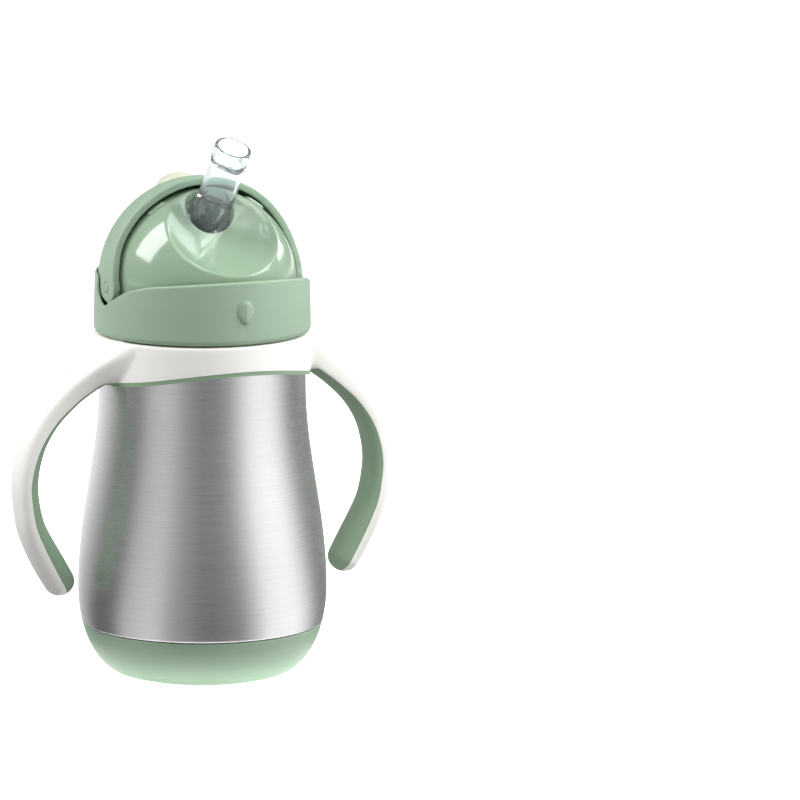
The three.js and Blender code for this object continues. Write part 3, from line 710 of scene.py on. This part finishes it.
# Rings between the spout hole and the dome's foot, then down its wall, back inside and out at the hole.
def drinkingDome():
    shape = domeShape
    angle = np.linspace(0, 2 * pi, 288, endpoint=False)
    sideways = np.stack([np.cos(angle), np.sin(angle) * holeAxis[2], np.sin(angle) * -holeAxis[1]], -1)
    rim = (spoutHole - pivot) + shape["holeRadius"] * sideways
    foot = np.stack([np.cos(angle), np.sin(angle), 0 * angle], -1)

    def skin(inset, shares, radiusGain=0.0):
        edge = (spoutHole - pivot) + (shape["holeRadius"] + radiusGain) * sideways - holeAxis * inset
        start = edge / np.linalg.norm(edge, axis=1, keepdims=True)
        direction = start[None] + (foot - start)[None] * shares[:, None, None]
        direction /= np.linalg.norm(direction, axis=2, keepdims=True)
        return direction * domeReach(direction, inset)[..., None] + pivot

    shares = np.linspace(0, 1, 120) ** 0.9
    outer = skin(0.0, shares, 0.5)
    walls = [(shape["radius"], z) for z in (122.5, 118, 113, 111.2)]
    walls += [(shape["radius"] + 0.25, 110.95), (shape["flange"], 110.9), (shape["flange"], 109.95),
              (29.3, 109.9), (29.3, 102.4), (27.7, 102.4), (27.7, 109.5), (27.4, 111.5), (27.4, 118)]
    tube = np.stack([np.stack([r * np.cos(angle), r * np.sin(angle), z + 0 * angle], -1) for r, z in walls])
    inner = skin(shape["wall"], shares[::-1], 0.0)
    inside = (rim + pivot - holeAxis * shape["wall"])[None]
    step = (rim + pivot - holeAxis * 0.5)[None]
    rows = np.concatenate([step, outer, tube, inner[:-1], inside])
    shells = [(rows, True, True)]
    for side in (1, -1):
        tilt = radians(34.5) * side
        outward = np.array([sin(tilt), 0.0, cos(tilt)])
        pad = softBox((3.4, 1.5, 1.2), 0.4)
        turn = np.array([[cos(tilt), 0, -sin(tilt)], [0, 1, 0], outward])
        shells.append((pad @ turn + outward * 28.65 + pivot + [0, -2.2, 0], False, True))
    piece = surfaceObject("drinkingDome", shells, 60)
    return placed(piece, "lid", "sage_gloss", "drinking_dome")


drinkingDome()
print("stage: dome")

# ---- spout ----

spoutShape = {"radius": 5.8, "wall": 1.05, "tip": (2.7, -18.0, 44.1), "bell": 6.75, "bend": 4.5}


# Centreline: along the hole's axis first, turned towards the tip by a smooth step, at distances from the
# hole.
def spoutLine(distances):
    tip = pivot + spoutShape["tip"]
    bend = spoutShape["bend"]
    lean = tip - spoutHole - holeAxis * bend * 0.5
    length = np.linalg.norm(lean) + bend * 0.5
    lean /= np.linalg.norm(lean)
    fine = np.linspace(-12, length + 1, 800)
    share = smoothStep(0, bend, fine)[:, None]
    heading = holeAxis * (1 - share) + lean * share
    heading /= np.linalg.norm(heading, axis=1, keepdims=True)
    places = np.cumsum(heading, 0) * (fine[1] - fine[0])
    places += spoutHole - np.array([np.interp(0, fine, places[:, k]) for k in range(3)])
    def along(values):
        return np.stack([np.interp(distances, fine, values[:, k]) for k in range(3)], -1)

    return along(places), along(heading), length


# Profile of (distance along the centreline, radius) carried round it; wave lifts parts of the membrane.
def drinkingSpout():
    shape = spoutShape
    _, _, length = spoutLine(np.array([0.0]))
    radius, inner = shape["radius"], shape["radius"] - shape["wall"]
    outside = [(-8.0, 2.2), (-8.0, 2.9), (-3.6, 3.2), (-3.4, 7.3), (-2.5, 7.3), (-2.3, 6.6), (-0.6, 6.6),
               (0.2, shape["bell"]), (0.7, 6.6), (1.5, 6.25), (2.6, 6.0), (4.0, 5.86)]
    outside += [(distance, radius) for distance in (6, 9, 12, 15, 18, 21, 24, length - 0.5)]
    outside += [(length - 0.18, radius - 0.08), (length, radius - 0.3)]
    mouth = [(length, inner + 0.3), (length - 0.15, inner + 0.08), (length - 0.5, inner), (length - 2, inner),
             (length - 4, inner)]
    ceiling = length - 5.4
    # Membrane across the tube: depth under its rim and share of the radius, upper face then lower face.
    upper = [(0.0, 1.0), (0.3, 0.92), (0.9, 0.75), (1.5, 0.5), (1.8, 0.25), (1.9, 0.0)]
    lower = [(2.6, 0.0), (2.5, 0.25), (2.2, 0.5), (1.7, 0.75), (1.2, 0.92), (1.0, 1.0)]
    membrane = [(ceiling - depth, inner * share) for depth, share in upper]
    beneath = [(ceiling - depth, inner * share) for depth, share in lower]
    base = [(18, inner), (14, inner), (10, inner), (8.2, inner), (7.7, inner - 0.4), (7.5, 3.7), (7.2, 3.45),
            (4, 3.4), (1, 3.4), (-2.5, 3.2), (-5.0, 2.2)]
    profile = np.array(outside + mouth + membrane + beneath + base)
    places, heading, _ = spoutLine(profile[:, 0])
    angle = np.linspace(0, 2 * pi, 96, endpoint=False)
    side = np.array([1.0, 0, 0]) - heading * heading[:, :1]
    side /= np.linalg.norm(side, axis=1, keepdims=True)
    other = np.cross(heading, side)
    ring = side[:, None] * np.cos(angle)[None, :, None] + other[:, None] * np.sin(angle)[None, :, None]
    points = places[:, None] + ring * profile[:, 1][:, None, None]
    first = len(outside) + len(mouth)
    last = first + len(membrane) + len(beneath)
    wave = np.zeros(len(profile))
    wave[first:last] = 0.55 * (profile[first:last, 1] / inner)
    points += heading[:, None] * (wave[:, None] * np.cos(3 * angle + 0.6)[None])[..., None]
    piece = surfaceObject("drinkingSpout", [(points, True, True)], 70)
    placed(piece, None, "silicone", "spout_base", "spout_tip")
    start, end = spoutLine(np.array([0.5, 7.5]))[0]
    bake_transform(piece)


drinkingSpout()
print("stage: spout")

# ---- hood and knob ----

knobShape = {"radius": 7.0, "rise": 5.0, "angle": 51.8, "stem": 2.6}


# Ball stretched along X: half-width on the hinge, radius in the swinging plane.
def ballGrid(halfWidth, radius, steps=150):
    polar = np.linspace(0, pi, steps)[:, None]
    around = np.linspace(0, 2 * pi, 2 * steps, endpoint=False)[None]
    return np.stack([halfWidth * np.cos(polar) + 0 * around, radius * np.sin(polar) * np.cos(around),
                     radius * np.sin(polar) * np.sin(around)], -1)


def flipHood():
    shape = hoodShape
    halfWidth, radius, wall, edge = shape["halfWidth"], shape["radius"], shape["wall"], shape["rearEdge"]
    hood = surfaceObject("flipHood", [(ballGrid(halfWidth, radius), False, True)])
    inner = surfaceObject("inner", [(ballGrid(halfWidth - wall, radius - wall), False, True)])
    combined(hood, inner, "DIFFERENCE")
    rear = [(5.05, -0.9), (4.9, 1.5), (4.4, 4.2), (3.75, 7.5), (edge, 12), (edge, 45), (-40, 45)]
    outline = np.vstack([seamLine(0.0), rear])
    combined(hood, blockAlongX("hood outline", outline, 50), "INTERSECT")
    relaxed(hood, shape["voxel"], shape["relax"])
    depth, bore = halfWidth - shape["pinDepth"], shape["pinHole"]
    hole = turned([(0.0, depth), (bore, depth), (bore, 40), (0.0, 40)], 64)
    for side in (1, -1):
        cutter = surfaceObject("pin hole", [(aimed(hole, (side, 0, 0), (0, 0, 0)), True, True)])
        combined(hood, cutter, "DIFFERENCE")
    points = np.empty(len(hood.data.vertices) * 3)
    hood.data.vertices.foreach_get("co", points)
    turnedBack = opened(points.reshape(-1, 3) / millimetre + pivot) * millimetre
    hood.data.vertices.foreach_set("co", turnedBack.ravel())
    cleaned(hood, 45, 1e-5)
    return placed(hood, "hood", "sage_matte", "flip_hood")


# Egg-shaped button: a quarter ellipse profile turned about its own axis, sitting on the hood.
def thumbKnob():
    shape = knobShape
    base = hoodShape["radius"] - 0.55
    t = np.linspace(0, pi / 2, 24)
    height = base + 0.9 + (shape["rise"] + 0.55 - 0.9) * np.sin(t)
    crown = np.stack([shape["radius"] * np.cos(t) ** 0.9, height], -1)
    crown[-1, 0] = 0
    profile = np.vstack([[(0.0, base - 1.2), (shape["stem"], base - 1.2), (shape["stem"], base - 0.2),
                          (shape["radius"] - 0.9, base - 0.6), (shape["radius"] - 0.35, base - 0.45),
                          (shape["radius"] - 0.08, base + 0.1)], crown])
    axis = (0, -cos(radians(shape["angle"])), sin(radians(shape["angle"])))
    points = opened(aimed(turned(profile, 96), axis, pivot))
    piece = surfaceObject("thumbKnob", [(points, True, True)], 60)
    return placed(piece, "hood", "knob_plastic", "thumb_knob")


# Pin end: a low disc with a rounded shoulder and a shallow dimple.
def hingePin(side, name, node):
    profile = [(0.0, 24.8), (1.6, 24.8), (1.6, 32.2), (1.56, 32.5), (1.4, 32.66), (1.1, 32.7), (0.8, 32.66),
               (0.0, 32.6)]
    points = aimed(turned(profile, 64), (side, 0, 0), pivot)
    placed(surfaceObject(name, [(points, True, True)], 50), "lid", "sage_matte", node)


# Valve button at the rear of the dome: a flat mushroom head, its stem and a soft beak below.
def ventValve():
    profile = [(0.0, 30.0), (1.6, 30.0), (2.3, 29.88), (2.55, 29.7), (2.5, 29.55), (1.4, 29.5), (1.4, 27.1),
               (2.4, 27.1), (2.4, 26.3), (1.2, 25.8), (0.5, 23.5), (0.0, 23.5)]
    points = aimed(turned(profile, 64), (0, sin(radians(35)), cos(radians(35))), pivot)
    placed(surfaceObject("ventButton", [(points, True, True)], 50), "lid", "silicone", "vent_valve")


flipHood()
thumbKnob()
hingePin(1, "pinRight", "hinge_pin_right")
hingePin(-1, "pinLeft", "hinge_pin_left")
ventValve()
print("stage: hood")

# ---- nodes carried over from the CAD ----

carriedOver = {"base_plate": "steel", "getter_pellet": "getter_metal", "inner_liner": "steel",
               "lid_gasket": "silicone", "drinking_straw": "silicone"}
for node, slot in carriedOver.items():
    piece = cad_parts[node]
    piece.data.materials.clear()
    piece.data.materials.append(finish[slot])

# ---- floor, light and camera ----

studio = {"world": 0.2, "floorGlow": 0.8, "roll": 0.33, "distance": 2.0, "elevation": 10.0, "azimuth": -25.0,
          "aim": (0.0618, -0.0141, 0.0842), "view": 0.2526}
# Soft boxes: name, angle round the cup (degrees from the camera, right is positive), rise in degrees,
# distance, size and power.
lamps = [("left window", -86, 40, 1.2, (0.62, 0.78), 11.5), ("right box", 80, 32, 1.3, (0.7, 1.0), 15),
         ("right rim", 128, 30, 1.4, (0.6, 1.0), 8), ("top box", 2, 58, 1.5, (0.9, 0.7), 7)]


def floorPlane():
    floor = meshObject("floor", [(-8, -8, 0), (8, -8, 0), (8, 8, 0), (-8, 8, 0)], [(0, 1, 2, 3)])
    made = Nodes("pale floor")
    cloud = made.spread(made.noise((30, 30, 30), 3), 0, 1)
    made.link(made.mixed(cloud, (0.92, 0.92, 0.92), (0.94, 0.94, 0.94)), made.shader.inputs["Base Color"])
    made.shader.inputs["Roughness"].default_value = 0.9
    made.shader.inputs["Emission Color"].default_value = (1, 1, 1, 1)
    made.shader.inputs["Emission Strength"].default_value = studio["floorGlow"]
    made.shader.inputs["Specular IOR Level"].default_value = 0.1
    floor.data.materials.append(made.material)


# Soft box facing a point on the cup's axis.
def softLight(name, turn, rise, distance, size, power):
    lamp = bpy.data.lights.new(name, "AREA")
    lamp.shape, lamp.size, lamp.size_y, lamp.energy = "RECTANGLE", size[0], size[1], power
    box = linked(name, lamp)
    heading, rise = radians(270 + studio["azimuth"] + turn), radians(rise)
    place = Vector((cos(heading) * cos(rise), sin(heading) * cos(rise), sin(rise))) * distance
    box.location = place + Vector((0, 0, 0.1))
    box.rotation_euler = place.to_track_quat("Z", "Y").to_euler()


# Band between two circles round the cup's axis, each given as radius and height in metres.
def roundBand(name, circles, sides=96):
    angle = np.linspace(0, 2 * pi, sides, endpoint=False)
    rings = [np.stack([r * np.cos(angle), r * np.sin(angle), z + 0 * angle], -1) for r, z in circles]
    return meshObject(name, np.concatenate(rings).tolist(), gridFaces(2, sides, False, True, 0).tolist())


# Gives a staged band its material and hides it from some kinds of ray.
def stagedBand(band, material, *rays):
    band.data.materials.append(material)
    for ray in rays:
        setattr(band, "visible_" + ray, False)


# Low round screen of grey bands, seen only in reflections. Bands are an angle round the cup (degrees from
# the camera, right is positive) and a brightness.
screenShape = {"circles": [(0.17, 0.115), (0.046, 0.0005)],
               "bands": [(-180, 1.0), (-150, 1.2), (-130, 1.2), (-112, 0.8), (-98, 0.5), (-84, 0.12),
                         (-64, 0.1), (-50, 0.62), (-30, 0.76), (-16, 0.34), (4, 0.17), (26, 0.24),
                         (36, 0.6), (46, 1.2), (72, 1.3), (84, 0.8), (96, 0.25), (112, 0.16), (128, 0.3),
                         (150, 0.45)]}


def reflectionScreen():
    made = Nodes("grey screen")
    mapping = made.add("ShaderNodeMapping")
    mapping.inputs["Rotation"].default_value = (0, 0, radians(90 - studio["azimuth"]))
    made.link(made.place, mapping.inputs["Vector"])
    gradient = made.add("ShaderNodeTexGradient", gradient_type="RADIAL")
    made.link(mapping.outputs["Vector"], gradient.inputs["Vector"])
    ramp = made.add("ShaderNodeValToRGB")
    ramp.color_ramp.interpolation = "EASE"
    stops = sorted(((turn / 360 + 0.5) % 1, level) for turn, level in screenShape["bands"])
    while len(ramp.color_ramp.elements) < len(stops):
        ramp.color_ramp.elements.new(0.5)
    for element, (share, level) in zip(ramp.color_ramp.elements, stops):
        element.position, element.color = share, (level, level, level, 1)
    made.link(gradient.outputs["Color"], ramp.inputs["Fac"])
    made.shader.inputs["Base Color"].default_value = (0, 0, 0, 1)
    made.shader.inputs["Specular IOR Level"].default_value = 0
    made.link(ramp.outputs["Color"], made.shader.inputs["Emission Color"])
    made.shader.inputs["Emission Strength"].default_value = 1
    screen = roundBand("screen", screenShape["circles"])
    stagedBand(screen, made.material, "camera", "diffuse", "shadow", "transmission")


carpetShape = {"circles": [(0.043, 0.0002), (0.7, 0.0002)], "dark": (0.2, 0.2, 0.2),
               "light": (0.24, 0.24, 0.24)}


# Dark carpet round the cup that only soft light sees, so the pale floor does not light the cup from below.
def darkCarpet():
    made = Nodes("dark carpet")
    tone = made.mixed(made.noise((40, 40, 40)), carpetShape["dark"], carpetShape["light"])
    made.link(tone, made.shader.inputs["Base Color"])
    carpet = roundBand("carpet", carpetShape["circles"])
    stagedBand(carpet, made.material, "camera", "glossy", "shadow", "transmission")


def studioCamera():
    lens = bpy.data.cameras.new("camera")
    lens.sensor_width, lens.lens = 36, 36 / studio["view"] * studio["distance"]
    camera = linked("camera", lens)
    turn, rise = radians(studio["azimuth"]), radians(studio["elevation"])
    back = Vector((sin(turn) * cos(rise), -cos(turn) * cos(rise), sin(rise)))
    camera.location = Vector(studio["aim"]) + back * studio["distance"]
    roll = Quaternion((0, 0, 1), radians(studio["roll"]))
    camera.rotation_euler = (back.to_track_quat("Z", "Y") @ roll).to_euler()
    bpy.context.scene.camera = camera


floorPlane()
for lamp in lamps:
    softLight(*lamp)
reflectionScreen()
darkCarpet()
world = bpy.data.worlds.new("studio")
bpy.context.scene.world = world
world.use_nodes = True
world.node_tree.nodes["Background"].inputs["Color"].default_value = (1, 1, 1, 1)
world.node_tree.nodes["Background"].inputs["Strength"].default_value = studio["world"]
bpy.context.scene.view_settings.view_transform = "Standard"
studioCamera()
print("stage: studio")
